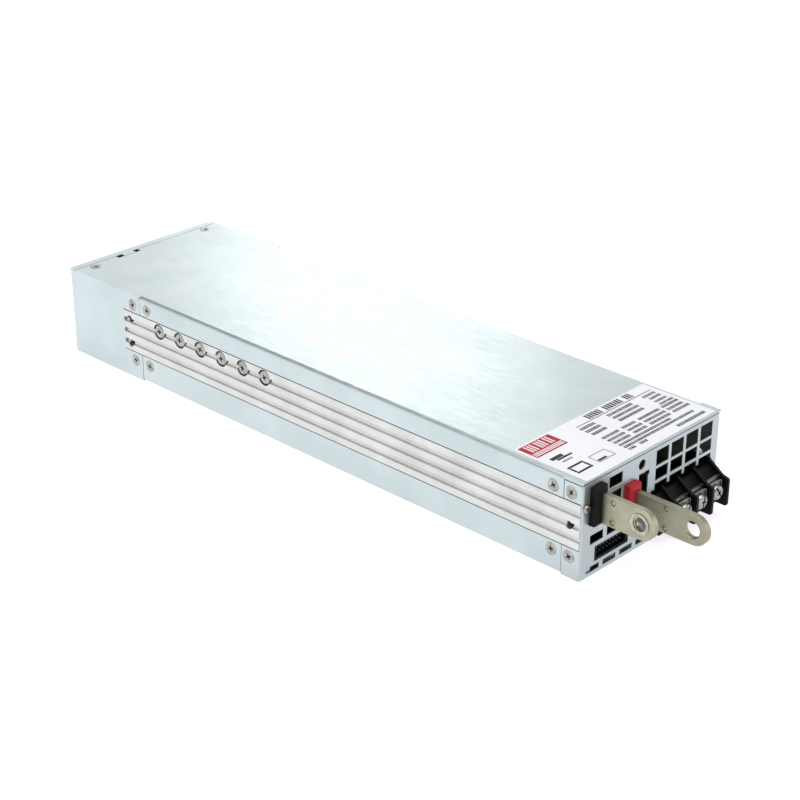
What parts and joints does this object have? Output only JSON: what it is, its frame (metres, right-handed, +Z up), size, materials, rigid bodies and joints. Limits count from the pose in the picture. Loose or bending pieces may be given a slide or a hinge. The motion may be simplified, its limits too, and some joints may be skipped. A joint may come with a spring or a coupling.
{
  "type": "switching power supply",
  "caption": "Low enclosed switching power supply with side extrusions, fans at the rear, flat output bars and a barrier terminal block at the front.",
  "frame": {"origin": "centre of the case's underside", "axes": "+Z up, +Y from the terminal end to the fan end, +X to the right seen from above with the terminals at the near end"},
  "size_m": [0.085, 0.3352, 0.0411],
  "materials": {
    "zinc_steel": "satin zinc-plated sheet",
    "sink_aluminium": "extruded, satin",
    "nickel": "bright nickel plate",
    "bar_nickel": "matt nickel plate on copper",
    "black_plastic": "moulded, matt",
    "red_plastic": "moulded, matt",
    "label_film": "satin polyester film",
    "board_green": "solder mask",
    "film_clear": "milky insulating film",
    "ferrite": "matt ferrite",
    "copper_winding": "enamelled copper",
    "tape_yellow": "polyester tape",
    "component_yellow": "moulded box",
    "can_sleeve": "shrink sleeve",
    "trimmer_blue": "moulded, matt",
    "lamp_green": "diffused lens",
    "fuse_glass": "ceramic tube",
    "brass": "bright"
  },
  "bodies": {
    "case": {"ac_contact_1": "nickel", "ac_contact_2": "nickel", "ac_contact_3": "nickel", "ac_terminal_block": "black_plastic", "aux_header": "black_plastic", "aux_pins": "brass", "bar_insert": "nickel", "black_collar": "black_plastic", "board_screws": "nickel", "board_standoffs": "brass", "bottom_plate": "zinc_steel", "bridge_rectifier": "black_plastic", "bulk_capacitor_left": "can_sleeve", "bulk_capacitor_right": "can_sleeve", "case_side_screws": "nickel", "case_top_screws": "nickel", "control_board": "board_green", "device_nuts": "nickel", "device_screws": "nickel", "emi_choke": "copper_winding", "fan_frame_left": "black_plastic", "fan_frame_right": "black_plastic", "fan_screws": "nickel", "fan_stators": "copper_winding", "front_panel": "zinc_steel", "input_fuse": "fuse_glass", "inrush_relay": "black_plastic", "insulation_sheet": "film_clear", "insulator_pads": "film_clear", "left_heatsink": "sink_aluminium", "left_transistors": "black_plastic", "main_board": "board_green", "output_bar_left": "bar_nickel", "output_bar_right": "bar_nickel", "output_capacitors": "can_sleeve", "output_choke": "copper_winding", "panel_end_screw": "nickel", "pfc_inductor": "copper_winding", "rating_label": "label_film", "rear_housing": "zinc_steel", "red_collar": "red_plastic", "right_heatsink": "sink_aluminium", "right_transistors": "black_plastic", "signal_header": "black_plastic", "signal_pins": "brass", "status_led": "lamp_green", "top_cover": "zinc_steel", "transformer_core": "ferrite", "transformer_winding": "tape_yellow", "trimmer_body": "trimmer_blue", "x_capacitor": "component_yellow"},
    "ac_pole_1": {"ac_screw_1": "nickel", "ac_clamp_1": "nickel"},
    "ac_pole_2": {"ac_screw_2": "nickel", "ac_clamp_2": "nickel"},
    "ac_pole_3": {"ac_screw_3": "nickel", "ac_clamp_3": "nickel"},
    "trimmer": {"trimmer_rotor": "brass"},
    "fan_left": {"fan_rotor_left": "black_plastic"},
    "fan_right": {"fan_rotor_right": "black_plastic"}
  },
  "joints": [
    {"name": "fan_left_spin", "type": "hinge", "parent": "case", "child": "fan_left", "pos_m": [-0.0194, 0.135, 0.0201], "axis": [0, 1, 0], "continuous": true},
    {"name": "fan_right_spin", "type": "hinge", "parent": "case", "child": "fan_right", "pos_m": [0.0194, 0.135, 0.0201], "axis": [0, 1, 0], "continuous": true},
    {"name": "trimmer_turn", "type": "hinge", "parent": "case", "child": "trimmer", "pos_m": [-0.0073, -0.147, 0.0357], "axis": [0, -1, 0], "range_deg": [-130, 130]},
    {"name": "ac_screw_1_travel", "type": "slide", "parent": "case", "child": "ac_pole_1", "axis": [0, -1, 0], "range_m": [0, 0.0035]},
    {"name": "ac_screw_2_travel", "type": "slide", "parent": "case", "child": "ac_pole_2", "axis": [0, -1, 0], "range_m": [0, 0.0035]},
    {"name": "ac_screw_3_travel", "type": "slide", "parent": "case", "child": "ac_pole_3", "axis": [0, -1, 0], "range_m": [0, 0.0035]}
  ]
}
